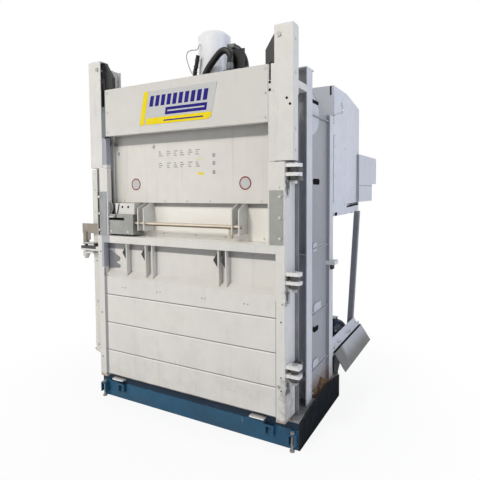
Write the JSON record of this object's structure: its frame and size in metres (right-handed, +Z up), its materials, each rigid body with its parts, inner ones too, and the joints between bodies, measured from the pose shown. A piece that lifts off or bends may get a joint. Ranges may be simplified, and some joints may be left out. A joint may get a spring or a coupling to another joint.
{
  "type": "vertical baling press",
  "caption": "Upright baling press with hinged bale door, sliding loading flap on belts and counterweights, press cylinder and rear loading hood.",
  "frame": {"origin": "on the floor, straight under the press cylinder's axis, in the middle of the width", "axes": "+Z up, +X to the right seen from the door side, the door side looks along -Y"},
  "size_m": [1.966, 2.8763, 2.907],
  "materials": {
    "cream_paint": "satin",
    "blue_paint": "satin",
    "dark_paint": "satin",
    "navy_paint": "satin",
    "worn_steel": "worn",
    "galvanised": "dull",
    "bright_steel": "satin",
    "bronze_plate": "satin",
    "iron": "rough",
    "belt_rubber": "matte",
    "hose_rubber": "matte",
    "white_plastic": "matte"
  },
  "bodies": {
    "frame": {"base_frame": "blue_paint", "floor_plate": "worn_steel", "base_skirts": "dark_paint", "side_columns": "cream_paint", "chamber_walls": "worn_steel", "rear_wall": "worn_steel", "head_beams": "cream_paint", "cylinder_plate": "cream_paint", "press_cylinder": "cream_paint", "header_panel": "cream_paint", "post_covers": "cream_paint", "slot_strips": "cream_paint", "pulley_guards": "dark_paint", "flap_guides": "cream_paint", "post_arms": "cream_paint", "pulley_axles": "bright_steel", "belt_left": "belt_rubber", "belt_right": "belt_rubber", "hinge_knuckles": "cream_paint", "hinge_pins": "bright_steel", "latch_post": "cream_paint", "levelling_screws": "bright_steel", "base_brackets": "blue_paint", "door_pads": "white_plastic", "hood": "cream_paint", "hood_hangers": "cream_paint", "hood_rod": "bright_steel", "rear_cabinet": "cream_paint", "side_rails": "cream_paint", "flared_guards": "galvanised", "hood_struts": "dark_paint", "guard_buffers": "dark_paint", "drive_motor": "navy_paint", "motor_shelf": "dark_paint", "valve_block": "dark_paint", "press_hoses": "hose_rubber", "cable_bundle": "hose_rubber"},
    "door": {"door_panel": "cream_paint", "door_back_plate": "cream_paint", "door_sides": "cream_paint", "door_ribs": "cream_paint", "guide_plates": "galvanised", "plate_bolts": "bright_steel", "door_hinge_lugs": "cream_paint"},
    "flap": {"flap_panel": "cream_paint", "belt_lugs": "cream_paint", "bar_brackets": "cream_paint", "lock_box": "galvanised", "switch_cover": "cream_paint", "switch_cables": "hose_rubber"},
    "bar": {"lock_bar": "bright_steel"},
    "wheel_left": {"pulley_left": "iron"},
    "wheel_right": {"pulley_right": "iron"},
    "weight_left": {"counterweight_left": "iron"},
    "weight_right": {"counterweight_right": "iron"},
    "ram": {"piston_rod": "bright_steel", "press_platen": "worn_steel"},
    "lever": {"latch_lever": "bronze_plate"}
  },
  "joints": [
    {"name": "door_hinge", "type": "hinge", "parent": "frame", "child": "door", "pos_m": [0.855, -0.45, 1.2], "axis": [0, 0, 1], "range_deg": [0, 120]},
    {"name": "flap_slide", "type": "slide", "parent": "frame", "child": "flap", "axis": [0, 0, 1], "range_m": [0, 0.5], "deforming": ["belt_left", "belt_right"]},
    {"name": "lock_bar_turn", "type": "hinge", "parent": "flap", "child": "bar", "pos_m": [0, -0.45, 1.44], "axis": [-1, 0, 0], "range_deg": [0, 80]},
    {"name": "left_pulley_spin", "type": "hinge", "parent": "frame", "child": "wheel_left", "pos_m": [-0.77, -0.428, 2.629], "axis": [0, -1, 0], "range_deg": [0, 546]},
    {"name": "right_pulley_spin", "type": "hinge", "parent": "frame", "child": "wheel_right", "pos_m": [0.77, -0.428, 2.629], "axis": [0, 1, 0], "range_deg": [0, 546]},
    {"name": "left_weight_slide", "type": "slide", "parent": "frame", "child": "weight_left", "axis": [0, 0, 1], "range_m": [-0.5, 0]},
    {"name": "right_weight_slide", "type": "slide", "parent": "frame", "child": "weight_right", "axis": [0, 0, 1], "range_m": [-0.5, 0]},
    {"name": "platen_slide", "type": "slide", "parent": "frame", "child": "ram", "axis": [0, 0, 1], "range_m": [-0.8, 0]},
    {"name": "latch_turn", "type": "hinge", "parent": "frame", "child": "lever", "pos_m": [-0.985, -0.448, 1.35], "axis": [0, 0, -1], "range_deg": [0, 90]}
  ],
  "couplings": [
    {"joint": "left_pulley_spin", "follows": "flap_slide", "rad_per_m": 19.048},
    {"joint": "right_pulley_spin", "follows": "flap_slide", "rad_per_m": 19.048},
    {"joint": "left_weight_slide", "follows": "flap_slide", "ratio": -1},
    {"joint": "right_weight_slide", "follows": "flap_slide", "ratio": -1}
  ]
}
